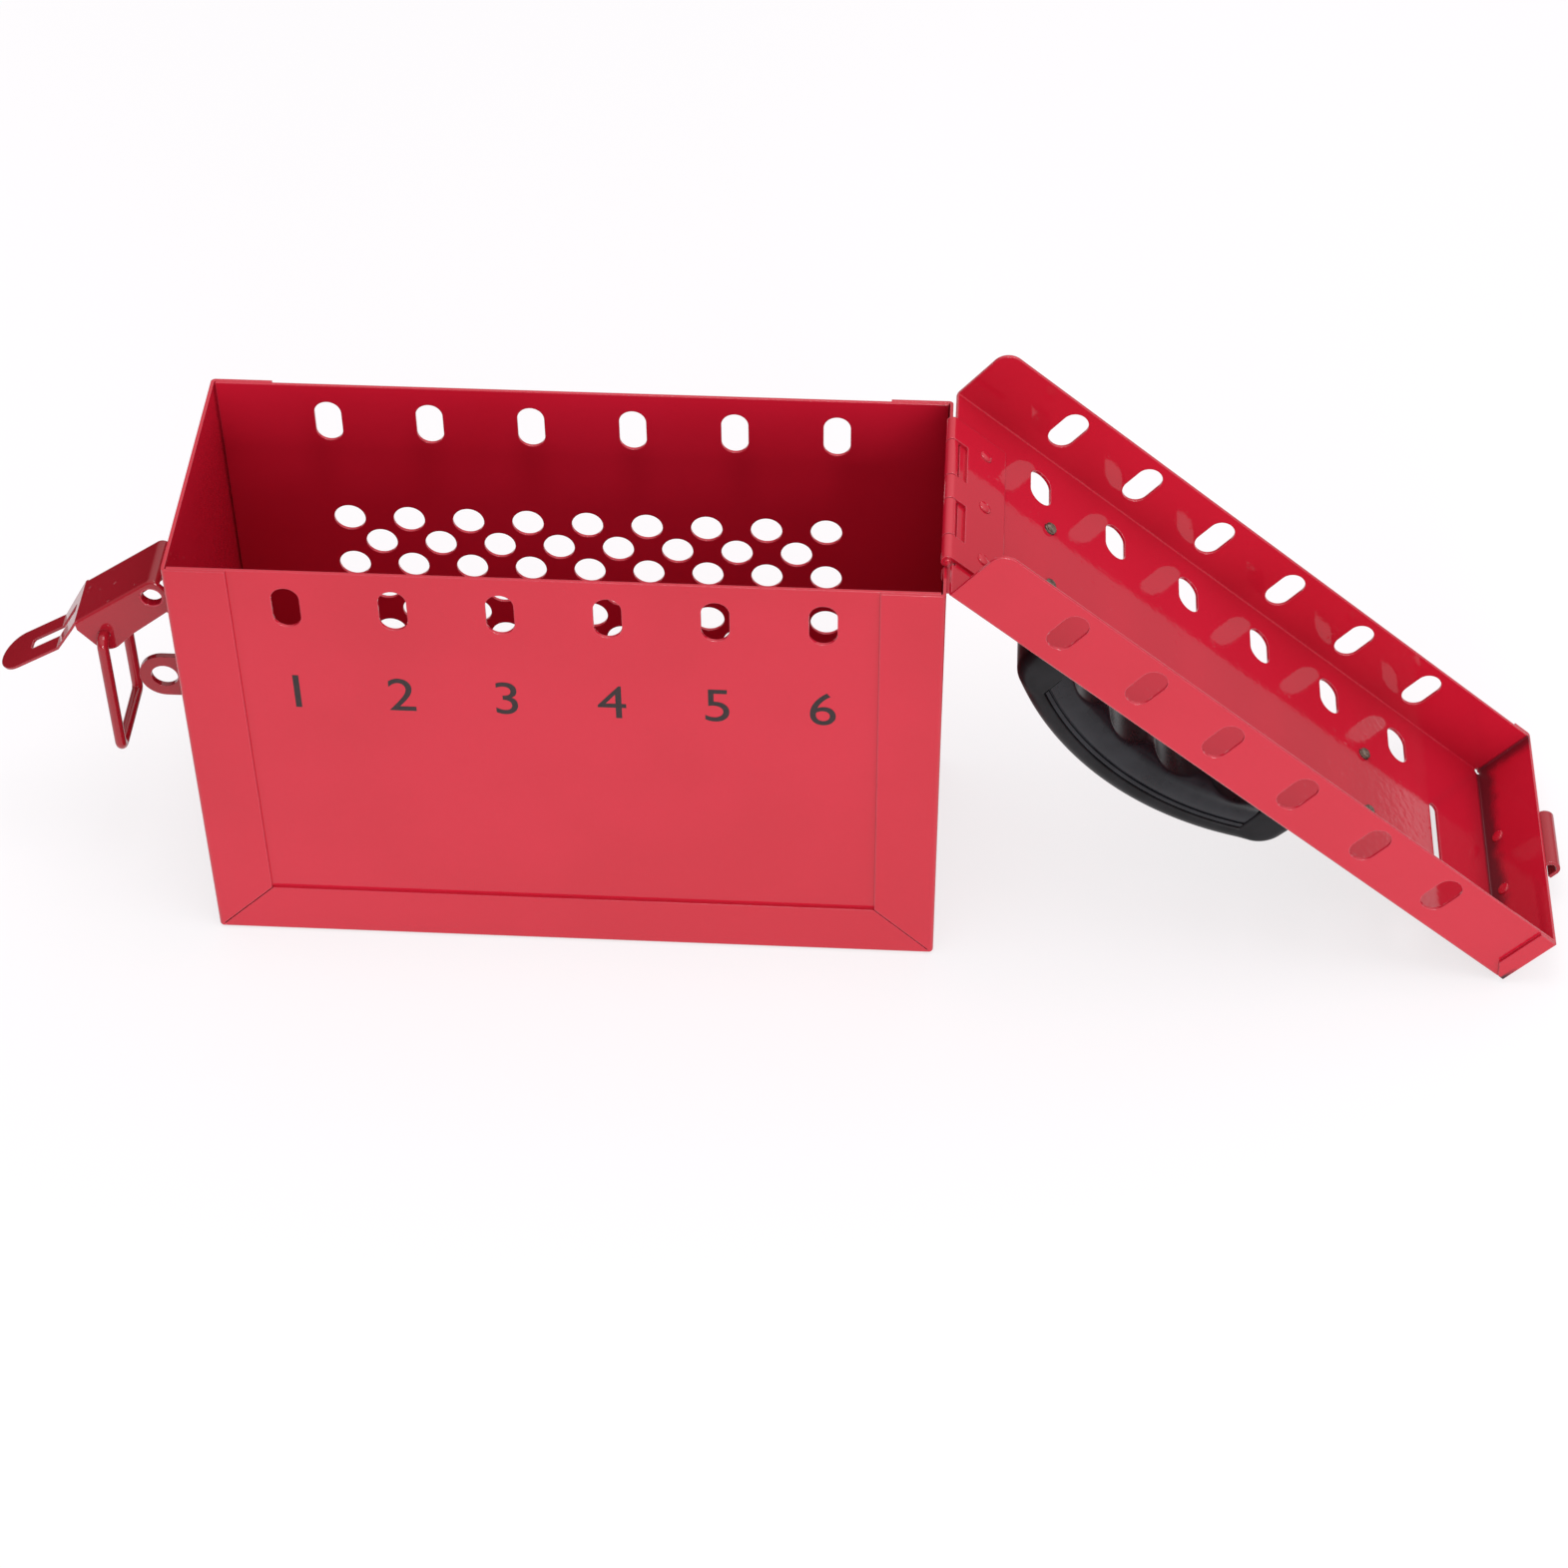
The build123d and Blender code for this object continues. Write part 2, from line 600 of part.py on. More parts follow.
# Hollow eyelets, flanged inside the base's ears and flush with the cheeks, on which the lever turns
eyelet_inner_y = ear_outer_y - base_sheet - fit_gap
with BuildPart() as lever_eyelets:
    for side in (-1, 1):
        with BuildSketch(Plane.XZ.offset(-side * eyelet_inner_y)):
            with Locations((pivot_x, pivot_z)):
                Circle(eyelet_radius)
                Circle(eyelet_bore, mode=Mode.SUBTRACT)
        extrude(amount=-side * (lever_half_width - eyelet_inner_y))
        with BuildSketch(Plane.XZ.offset(-side * eyelet_inner_y)):
            with Locations((pivot_x, pivot_z)):
                Circle(eyelet_flange_radius)
                Circle(eyelet_bore, mode=Mode.SUBTRACT)
        extrude(amount=side * eyelet_flange_height)
lever_eyelets.part.label = "lever_eyelets"

# Padlock eye: a flat ring standing off the wall, with a foot bent along it
with BuildPart() as latch_eye:
    with BuildSketch(Plane.XZ):
        with Locations((-half_length - eye_reach, eye_z)):
            Circle(eye_outer_radius)
        with Locations((-half_length, eye_z)):
            Rectangle(base_sheet, 2 * eye_outer_radius, align=(Align.MAX, Align.CENTER))
        make_hull()
        with Locations((-half_length - eye_reach, eye_z)):
            Circle(eye_bore_radius, mode=Mode.SUBTRACT)
    extrude(amount=eye_thickness / 2, both=True)
    with BuildSketch(Plane.YZ.offset(-half_length)):
        with Locations((0, eye_z)):
            Rectangle(eye_foot_width, 2 * eye_outer_radius, align=(Align.MIN, Align.CENTER))
    extrude(amount=-base_sheet)
latch_eye.part.label = "latch_eye"

# Lever: a channel folded over the pivot, ears for the bail, and a slotted tongue joggled towards the wall
def ear_tangent(corner, turn):
    # where a line from a corner of the cheek touches the ear's circle, on the side that turn names
    reach_u, reach_n = corner[0] - ear_u, corner[1] - ear_n
    bearing = atan2(reach_n, reach_u) + turn * acos(ear_radius / hypot(reach_u, reach_n))
    return (ear_u + ear_radius * cos(bearing), ear_n + ear_radius * sin(bearing))


cheek_front = (cheek_front_u, cheek_front_n)
cheek_low = (cheek_low_u, cheek_low_n)
with BuildPart() as latch_lever:
    with BuildSketch(lever_side) as cheek:
        with BuildLine():
            Polyline((-lever_back, cheek_back_foot), (-lever_back, lever_top), (lever_channel_end, lever_top),
                     cheek_front, ear_tangent(cheek_front, -1), (ear_u, ear_n), ear_tangent(cheek_low, 1),
                     cheek_low, close=True)
        make_face()
        with Locations((ear_u, ear_n)):
            Circle(ear_radius)
        fillet(cheek.vertices().group_by(Axis.Y)[-1].sort_by(Axis.X)[0], radius=lever_back_radius)
    extrude(amount=lever_half_width, both=True)
    top_face = latch_lever.faces().filter_by(GeomType.PLANE).sort_by(Axis((0, 0, 0), lever_up))[-1]
    fillet(top_face.edges().filter_by(Axis((0, 0, 0), lever_along)), radius=lever_fold_radius)
    with BuildSketch(lever_side) as hollow:
        with Locations((lever_sheet - lever_back, lever_top - lever_sheet)):
            Rectangle(2 * tongue_start, 4 * lever_top, align=(Align.MIN, Align.MAX))
        fillet(hollow.vertices().group_by(Axis.Y)[-1].sort_by(Axis.X)[0],
               radius=lever_back_radius - lever_sheet)
        with Locations((lever_back_radius - lever_back, lever_end_wall_foot)):
            Rectangle(2 * lever_back, 4 * lever_top, align=(Align.MAX, Align.MAX))
    extrude(amount=lever_half_width - lever_sheet, both=True, mode=Mode.SUBTRACT)
    with BuildSketch(lever_side):
        with BuildLine():
            Polyline((lever_channel_end - lever_sheet, lever_top - lever_sheet / 2),
                     (lever_channel_end, lever_top - lever_sheet / 2),
                     (tongue_start, tongue_top - lever_sheet / 2),
                     (tongue_tip, tongue_top + tongue_rise - lever_sheet / 2))
        trace(line_width=lever_sheet)
    extrude(amount=lever_half_width - lever_sheet / 2, both=True)
    with BuildSketch(lever_flat):
        with BuildLine():
            tip_round = (tongue_tip - tongue_half_width, tongue_half_width)
            Polyline((-2 * lever_back, lever_half_width), (-2 * lever_back, -lever_half_width),
                     (cheek_front_u, -lever_half_width), (tongue_start, -tongue_half_width),
                     (tip_round[0], -tip_round[1]))
            ThreePointArc((tip_round[0], -tip_round[1]), (tongue_tip, 0), tip_round)
            Polyline(tip_round, (tongue_start, tongue_half_width), (cheek_front_u, lever_half_width),
                     (-2 * lever_back, lever_half_width))
        make_face()
        with Locations(((tongue_slot_start + tongue_slot_end) / 2, 0)):
            RectangleRounded(tongue_slot_end - tongue_slot_start, tongue_slot_width,
                             tongue_slot_width / 4, mode=Mode.SUBTRACT)
    extrude(amount=2 * tongue_tip, both=True, mode=Mode.INTERSECT)
    with BuildSketch(lever_side):
        Circle(eyelet_radius + fit_gap)
        with Locations((bail_hole_u, bail_hole_n)):
            Circle(bail_wire_radius + fit_gap)
    extrude(amount=2 * lever_half_width, both=True, mode=Mode.SUBTRACT)
latch_lever.part.label = "latch_lever"

# Bail: round wire, its feet turned in through the lever's ears, hanging straight down
with BuildPart() as bail_wire:
    with BuildLine():
        FilletPolyline((bail_x, -bail_foot_y, bail_z), (bail_x, -bail_half_span, bail_z),
                       (bail_x, -bail_half_span, bail_z - bail_length),
                       (bail_x, bail_half_span, bail_z - bail_length),
                       (bail_x, bail_half_span, bail_z), (bail_x, bail_foot_y, bail_z),
                       radius=[bail_eye_bend, bail_corner_bend, bail_corner_bend, bail_eye_bend])
    with BuildSketch(Plane(origin=(bail_x, -bail_foot_y, bail_z), z_dir=(0, -1, 0))):
        Circle(bail_wire_radius)
    sweep()
bail_wire.part.label = "bail_wire"


os.makedirs("parts", exist_ok=True)
for piece in (body_wrap, front_panel, back_panel, hinge_body_leaf, hinge_lid_leaf, hinge_pin,
              hinge_body_rivets, hinge_lid_rivets, lid_shell, lid_keeper, keeper_rivets, handle_grip,
              handle_pad, handle_screws, latch_base, lever_eyelets, latch_eye, latch_lever, bail_wire):
    export_step(piece.part, "parts/" + piece.part.label + ".step")
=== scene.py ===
import json
from math import cos, pi, radians, sin
import bmesh
import bpy
import numpy as np
from mathutils import Matrix, Vector


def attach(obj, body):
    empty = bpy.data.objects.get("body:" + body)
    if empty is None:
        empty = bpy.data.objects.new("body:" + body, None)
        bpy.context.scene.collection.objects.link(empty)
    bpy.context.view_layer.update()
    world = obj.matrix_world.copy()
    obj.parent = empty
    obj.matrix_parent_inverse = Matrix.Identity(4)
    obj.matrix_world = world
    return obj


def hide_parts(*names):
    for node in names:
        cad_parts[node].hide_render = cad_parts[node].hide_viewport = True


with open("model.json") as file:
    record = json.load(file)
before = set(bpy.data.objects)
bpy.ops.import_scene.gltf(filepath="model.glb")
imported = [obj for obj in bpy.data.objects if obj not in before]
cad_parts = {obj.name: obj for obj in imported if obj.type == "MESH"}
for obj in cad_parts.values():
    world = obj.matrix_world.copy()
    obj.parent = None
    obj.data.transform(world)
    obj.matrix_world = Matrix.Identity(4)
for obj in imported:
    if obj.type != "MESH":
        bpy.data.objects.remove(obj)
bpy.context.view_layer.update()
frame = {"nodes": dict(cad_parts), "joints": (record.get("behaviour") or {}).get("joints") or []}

# Group lockout box: slotted red steel body, hinged lid with a moulded carry handle, draw latch.
# Metres, +Z up, origin in the middle of the body's underside, front at -Y. Sizes in dictionaries are in mm.
mm = 0.001
nodes = frame["nodes"]
joints = {joint["name"]: joint for joint in frame["joints"]}
print("stage 1: frame loaded,", len(nodes), "nodes")


# Shader maths

class Wire:
    # one output socket, with + - * and the maximum, each of which adds a Math node
    def __init__(self, finish, socket):
        self.finish = finish
        self.socket = socket

    def maths(self, operation, *values):
        return self.finish.add("ShaderNodeMath", {"operation": operation}, dict(enumerate(values)))

    def __add__(self, other):
        return self.maths("ADD", self, other)

    def __radd__(self, other):
        return self.maths("ADD", other, self)

    def __sub__(self, other):
        return self.maths("SUBTRACT", self, other)

    def __rsub__(self, other):
        return self.maths("SUBTRACT", other, self)

    def __mul__(self, other):
        return self.maths("MULTIPLY", self, other)

    def __rmul__(self, other):
        return self.maths("MULTIPLY", other, self)

    def most(self, other):
        return self.maths("MAXIMUM", self, other)

    def ramp(self, low, high):
        # 0 at low, 1 at high, smooth between; a falling ramp is 1 minus a rising one
        return self.finish.add("ShaderNodeMapRange", {"interpolation_type": "SMOOTHSTEP"},
                               {"Value": self, "From Min": low, "From Max": high})


class Finish:
    # one node tree, a material's or the world's, with a single method that adds any node
    def __init__(self, owner):
        self.owner = owner
        owner.use_nodes = True
        self.tree = owner.node_tree
        self.tree.nodes.clear()

    def add(self, kind, settings=None, sockets=None, out=0):
        node = self.tree.nodes.new(kind)
        for key, value in (settings or {}).items():
            setattr(node, key, value)
        for key, value in (sockets or {}).items():
            if isinstance(value, Wire):
                self.tree.links.new(value.socket, node.inputs[key])
            else:
                node.inputs[key].default_value = value
        return Wire(self, node.outputs[out]) if len(node.outputs) else None

    def split(self, where):
        node = self.tree.nodes.new("ShaderNodeSeparateXYZ")
        self.tree.links.new(where.socket, node.inputs[0])
        return [Wire(self, socket) for socket in node.outputs]

    def place(self):
        # the position on the object in metres
        return self.add("ShaderNodeTexCoord", out=3)

    def noise(self, where, perMetre, detail=2.0, rough=0.5):
        return self.add("ShaderNodeTexNoise", {}, {"Vector": where, "Scale": perMetre, "Detail": detail,
                                                   "Roughness": rough})

    def blend(self, mask, first, second):
        # a colour between two: first where the mask is 0, second where it is 1
        node = self.tree.nodes.new("ShaderNodeMix")
        node.data_type = "RGBA"
        for index, value in ((0, mask), (6, first), (7, second)):
            if isinstance(value, Wire):
                self.tree.links.new(value.socket, node.inputs[index])
            else:
                node.inputs[index].default_value = value if index == 0 else (*value, 1.0)
        return Wire(self, node.outputs[2])

    def close(self, sockets):
        shader = self.add("ShaderNodeBsdfPrincipled", {}, sockets)
        self.add("ShaderNodeOutputMaterial", {}, {"Surface": shader})
        return self.owner


# The lid's own axes: u from the hinge axis along the lid, v across it, w off it on the open side
hinge = np.array(joints["lid_hinge"]["pos_m"])
lidTilt = radians(joints["lid_hinge"]["range_deg"][1] - 180)
lidAlong = np.array([cos(lidTilt), 0.0, -sin(lidTilt)])
lidAcross = np.array([0.0, 1.0, 0.0])
lidOut = np.array([sin(lidTilt), 0.0, cos(lidTilt)])


def onLid(u, v, w):
    # mm in the lid's axes to metres in the frame, for numbers or arrays of one shape
    u, v, w = np.broadcast_arrays(u, v, w)
    return hinge + (u[..., None] * lidAlong + v[..., None] * lidAcross + w[..., None] * lidOut) * mm


lidSize = {"endInner": 235.2, "floor": 1.0, "flangeInner": 46.3}

# Paint: glossy red powder coat, thicker and rounder at the cut edges, where a paler pink is painted on as a
# highlight. Ramps are pairs: 0 at the first, 1 at the second. Heights and radii in mm
redPaint = {
    "colour": (0.490, 0.0095, 0.0285), "deeper": (0.460, 0.0080, 0.0240),
    "driftPerMetre": 14.0, "driftRamp": (0.35, 0.65),
    "roughness": 0.05, "cloudPerMetre": 60.0, "cloudRoughness": 0.04,
    "edgeRadius": 0.45, "edgeSamples": 6, "edgeHighlightColour": (0.78, 0.16, 0.22), "edgeHighlightRamp": (0.02, 0.26),
    "edgeHighlightShare": 0.5,
    "peelPerMetre": 380.0, "peelHeight": 0.045, "peelStrength": 0.5,
    "nibsPerMetre": 620.0, "nibsRamp": (0.76, 0.84), "nibsShare": 0.8,
}
# the same red, darker, on the latch lever, eye, keeper and bail loop
latchDarkerRed = {"colour": (0.32, 0.0080, 0.0180), "deeper": (0.28, 0.0065, 0.0140)}

# Fold darkening: a darker colour in the folds at the lid's far end. Ramps and reach in mm
foldDarkening = {
    "colour": (0.014, 0.004, 0.008), "roughness": 0.45, "share": 0.97,
    "perMetre": 75.0, "noiseRamp": (0.25, 0.75), "reach": 3.4,
    "upRamp": (0.6, 5.8), "sideRamp": (0.0, 5.0), "sideReach": 0.8, "sideShare": 0.9, "wallRamp": (0.3, 1.4),
    "foldRamp": (0.4, 2.0), "foldHeight": (0.2, 1.0), "foldShare": 0.8,
    "frontRamp": (-44.0, -15.0), "backLoss": 0.2,
    "insideRamp": (-0.6, -0.3),
}


def lidFoldDarkening(paint, where):
    # deepest where the end wall meets the lid's floor and back flange, thinning over a few millimetres up the
    # wall, uneven along its length, and none on the outer faces
    x, y, z = paint.split(where)
    lidX, lidZ = x - float(hinge[0]), z - float(hinge[2])
    u = lidX * float(lidAlong[0]) + lidZ * float(lidAlong[2])
    w = lidX * float(lidOut[0]) + lidZ * float(lidOut[2])
    fromEnd = lidSize["endInner"] * mm - u
    fromFloor = w - lidSize["floor"] * mm
    fromFlange = lidSize["flangeInner"] * mm - y

    def between(distance, name):
        low, high = foldDarkening[name]
        return distance.ramp(low * mm, high * mm)

    uneven = paint.noise(where, foldDarkening["perMetre"], 3.0, 0.6).ramp(*foldDarkening["noiseRamp"]) * foldDarkening["reach"] * mm
    up = 1 - between(fromFloor - uneven, "upRamp")
    side = 1 - between(fromFlange - uneven * foldDarkening["sideReach"], "sideRamp")
    wall = (1 - between(fromEnd, "wallRamp")) * up.most(side * foldDarkening["sideShare"])
    fold = (1 - between(fromEnd, "foldRamp")) * (1 - between(fromFloor, "foldHeight")) * foldDarkening["foldShare"]
    front = 1 - between(y, "frontRamp") * foldDarkening["backLoss"]
    inside = (between(fromEnd, "insideRamp") * between(fromFloor, "insideRamp")
              * between(fromFlange, "insideRamp"))
    return wall.most(fold) * front * inside * foldDarkening["share"]


def makeRedPaint(name, reds=redPaint, foldDarkened=False):
    # colour drifts slowly between two reds; broad low waves give the orange peel; a bevel rounds the edges,
    # and where it turns the normal a paler pink is painted on as a highlight
    look = redPaint
    paint = Finish(bpy.data.materials.new(name))
    where = paint.place()
    drift = paint.noise(where, look["driftPerMetre"], 3.0).ramp(*look["driftRamp"])
    colour = paint.blend(drift, reds["colour"], reds["deeper"])
    roughness = paint.noise(where, look["cloudPerMetre"]) * look["cloudRoughness"] + look["roughness"]
    rounded = paint.add("ShaderNodeBevel", {"samples": look["edgeSamples"]},
                        {"Radius": look["edgeRadius"] * mm})
    facing = paint.add("ShaderNodeNewGeometry", out=1)
    # painted highlight: a paler pink wherever the bevel turns the normal, along the edges
    highlightMask = 1 - paint.add("ShaderNodeVectorMath", {"operation": "DOT_PRODUCT"}, {0: rounded, 1: facing}, 1)
    colour = paint.blend(highlightMask.ramp(*look["edgeHighlightRamp"]) * look["edgeHighlightShare"], colour, look["edgeHighlightColour"])
    if foldDarkened:
        # darkens the folds at the lid's far end and makes them a little rougher
        mask = lidFoldDarkening(paint, where)
        colour = paint.blend(mask, colour, foldDarkening["colour"])
        roughness = roughness + mask * foldDarkening["roughness"]
    nibs = paint.noise(where, look["nibsPerMetre"], 0.0).ramp(*look["nibsRamp"])
    peel = paint.noise(where, look["peelPerMetre"], 1.0) + nibs * look["nibsShare"]
    bumped = paint.add("ShaderNodeBump", {}, {"Strength": look["peelStrength"],
                                              "Distance": look["peelHeight"] * mm,
                                              "Height": peel, "Normal": rounded})
    return paint.close({"Base Color": colour, "Roughness": roughness, "Normal": bumped, "IOR": 1.5})


# Plastics: near-black, with a fine grain (height in mm) and clouds of handling marks that dull them
plastic = {"grainStrength": 0.35, "smearPerMetre": 85.0, "smearRamp": (0.35, 0.70), "smearRoughness": 0.14}
blackMoulding = {"colour": (0.006, 0.006, 0.007), "scuffed": (0.012, 0.012, 0.014),
                 "roughness": 0.29, "shine": 0.19, "grainPerMetre": 1600.0, "grainHeight": 0.025}
softGrip = {"colour": (0.009, 0.009, 0.012), "scuffed": (0.016, 0.017, 0.021),
            "roughness": 0.21, "shine": 0.27, "grainPerMetre": 2600.0, "grainHeight": 0.015}


def makePlastic(name, look):
    surface = Finish(bpy.data.materials.new(name))
    where = surface.place()
    grain = surface.noise(where, look["grainPerMetre"])
    smear = surface.noise(where, plastic["smearPerMetre"], 3.0, 0.6)
    colour = surface.blend(smear.ramp(*plastic["smearRamp"]), look["colour"], look["scuffed"])
    bumped = surface.add("ShaderNodeBump", {}, {"Strength": plastic["grainStrength"],
                                                "Distance": look["grainHeight"] * mm, "Height": grain})
    return surface.close({"Base Color": colour, "Normal": bumped, "IOR": 1.5,
                          "Specular IOR Level": look["shine"],
                          "Roughness": smear * plastic["smearRoughness"] + look["roughness"]})


# Screw steel: dull plating, brownish grey with cloudy wear. Ink: black screen print, a little broken at
# pin-hole size
steelLook = {"perMetre": 900.0, "detail": 3.0, "ramp": (0.3, 0.7), "colour": (0.26, 0.20, 0.16),
             "worn": (0.08, 0.055, 0.045), "metallic": 0.8, "roughness": 0.28, "spread": 0.25, "shine": 0.5}
inkLook = {"perMetre": 2500.0, "detail": 2.0, "ramp": (0.35, 0.75), "colour": (0.018, 0.013, 0.014),
           "worn": (0.038, 0.020, 0.022), "metallic": 0.0, "roughness": 0.30, "spread": 0.15, "shine": 0.28}


def makeCloudy(name, look):
    # one noise sets both where the surface is worn and how rough it is
    surface = Finish(bpy.data.materials.new(name))
    cloud = surface.noise(surface.place(), look["perMetre"], look["detail"])
    colour = surface.blend(cloud.ramp(*look["ramp"]), look["colour"], look["worn"])
    return surface.close({"Base Color": colour, "Metallic": look["metallic"],
                          "Specular IOR Level": look["shine"],
                          "Roughness": cloud * look["spread"] + look["roughness"]})


redCoat = makeRedPaint("redPowderCoat")
lidCoat = makeRedPaint("redPowderCoatLid", foldDarkened=True)
latchDarkerCoat = makeRedPaint("redPowderCoatLatch", latchDarkerRed)
blackPlastic = makePlastic("blackMoulding", blackMoulding)
softPlastic = makePlastic("softGrip", softGrip)
screwSteel = makeCloudy("screwSteel", steelLook)
blackInk = makeCloudy("blackInk", inkLook)
finishes = {"lid_shell": lidCoat, "latch_lever": latchDarkerCoat, "latch_eye": latchDarkerCoat, "lid_keeper": latchDarkerCoat}
for nodeName, piece in nodes.items():
    piece.data.materials.clear()
    piece.data.materials.append(finishes.get(nodeName, redCoat))
print("stage 2: materials")


# Surfaces: each shape is a grid of points worked out as whole arrays

def gridSurface(points):
    # vertices and quads of a grid whose columns close into a ring
    rows, columns = points.shape[:2]
    row = np.arange(rows - 1)[:, None]
    column = np.arange(columns)[None, :]
    after = (column + 1) % columns
    quads = np.stack([row * columns + column, row * columns + after,
                      (row + 1) * columns + after, (row + 1) * columns + column], -1)
    return points.reshape(-1, 3), quads.reshape(-1, 4)


def capped(points):
    # a ring at each end, drawn in to its own middle, closes the surface
    first = np.broadcast_to(points[0].mean(0), points[0].shape)
    last = np.broadcast_to(points[-1].mean(0), points[-1].shape)
    return np.concatenate([first[None], points, last[None]])


def makePiece(name, grids, body, material, replaced=(), sharpAngle=38):
    # one mesh of several closed grids, welded, with normals outward
    corners, quads, count = [], [], 0
    for points in grids:
        place, faces = gridSurface(points)
        corners.append(place)
        quads.append(faces + count)
        count += len(place)
    mesh = bpy.data.meshes.new(name)
    mesh.from_pydata(np.concatenate(corners), [], np.concatenate(quads))
    work = bmesh.new()
    work.from_mesh(mesh)
    bmesh.ops.remove_doubles(work, verts=work.verts, dist=1e-7)
    bmesh.ops.dissolve_degenerate(work, edges=work.edges, dist=1e-7)
    bmesh.ops.recalc_face_normals(work, faces=work.faces)
    work.to_mesh(mesh)
    work.free()
    mesh.shade_smooth()
    mesh.set_sharp_from_angle(angle=radians(sharpAngle))
    return addPiece(name, mesh, body, material, replaced)


def addPiece(name, mesh, body, material, replaced=()):
    mesh.materials.append(material)
    piece = bpy.data.objects.new(name, mesh)
    bpy.context.scene.collection.objects.link(piece)
    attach(piece, body)
    if replaced:
        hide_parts(*replaced)
    return piece


def turned(profile, origin, axis, sides=40):
    # radius and height pairs in mm, turned about an axis square to Y: ring = Y cos a + (axis x Y) sin a
    profile = np.asarray(profile, float) * mm
    angle = np.linspace(0, 2 * pi, sides, endpoint=False)
    other = np.cross(axis, lidAcross)
    ring = np.cos(angle)[:, None] * lidAcross + np.sin(angle)[:, None] * other
    return origin + profile[:, 0, None, None] * ring + profile[:, 1, None, None] * np.asarray(axis)


# Rivets: a button head outside, a smaller closed head inside, both softened by paint
rivet = {
    "head": [(0, 1.0), (0.9, 0.97), (1.7, 0.82), (2.3, 0.52), (2.62, 0.20), (2.7, 0)],
    "tail": [(2.2, 0), (2.17, 0.14), (1.98, 0.44), (1.6, 0.66), (0.9, 0.78), (0, 0.8)],
    "shank": 1.5, "leafGrip": 2.0, "keeperGrip": 2.2,
    "spread": 24.0, "lidU": 12.0, "lidW": 0.0,
    "bodyX": 116.0, "bodyZ": 141.0,
    "keeperU": 237.4, "keeperSpread": 12.0, "keeperW": 6.0,
}


def rivetProfile(grip):
    return rivet["head"] + [(rivet["shank"], 0), (rivet["shank"], -grip)] + [
        (radius, -grip - height) for radius, height in rivet["tail"]]


def makeRivets():
    leaf, keeper = rivetProfile(rivet["leafGrip"]), rivetProfile(rivet["keeperGrip"])
    makePiece("lidLeafRivets", [turned(leaf, onLid(rivet["lidU"], side * rivet["spread"], rivet["lidW"]),
                                       -lidOut) for side in (-1, 0, 1)],
              "lid", redCoat, ["hinge_lid_rivets"])
    makePiece("bodyLeafRivets", [turned(leaf, np.array([rivet["bodyX"], side * rivet["spread"],
                                                        rivet["bodyZ"]]) * mm, (1.0, 0.0, 0.0))
                                 for side in (-1, 1)],
              "body", redCoat, ["hinge_body_rivets"])
    makePiece("keeperRivets", [turned(keeper, onLid(rivet["keeperU"], side * rivet["keeperSpread"],
                                                    rivet["keeperW"]), lidAlong) for side in (-1, 1)],
              "lid", redCoat, ["keeper_rivets"])


# Handle screws: pan heads with a cross recess outside, threaded ends inside the lid
screw = {
    "u": (39.4, 177.4), "v": 13.0, "seatW": -4.0, "radius": 1.95, "tip": -6.6, "tipRadius": 1.2,
    "threadStart": -4.6, "threadEnd": -6.2, "threadDepth": 0.26, "pitch": 0.7,
    "head": [(0, 2.4), (0.5, 2.38), (1.0, 2.32), (1.5, 2.22), (2.0, 2.08), (2.5, 1.88), (3.0, 1.58),
             (3.5, 1.12), (3.8, 0.62), (3.9, 0.15), (3.9, 0)],
    "recessReach": 2.2, "recessHalf": 0.55, "recessDepth": 1.3,
}


def makeScrews():
    # shank radius falls and rises once a pitch: r - depth (1 - cos(2 pi h / pitch)) / 2; head points inside
    # the cross are sunk
    height = np.linspace(screw["threadStart"], screw["threadEnd"], 26)
    turns = (height - screw["threadStart"]) / screw["pitch"]
    radius = screw["radius"] - screw["threadDepth"] * (0.5 - 0.5 * np.cos(2 * pi * turns))
    tip = [(screw["tipRadius"], screw["tip"]), (0, screw["tip"])]
    profile = np.array(screw["head"] + [(screw["radius"], 0)] + list(zip(radius, height)) + tip)
    angle = np.linspace(0, 2 * pi, 48, endpoint=False)
    across, along = profile[:, :1] * np.cos(angle), profile[:, :1] * np.sin(angle)
    inCross = (np.minimum(np.abs(across), np.abs(along)) < screw["recessHalf"]) & (
        profile[:, :1] < screw["recessReach"]) & (profile[:, 1:] > 0)
    depth = profile[:, 1:] - screw["recessDepth"] * inCross
    grids = [onLid(u + along, v + across, screw["seatW"] - depth)
             for u in screw["u"] for v in (-screw["v"], screw["v"])]
    makePiece("handleScrews", grids, "lid", screwSteel, ["handle_screws"], 30)


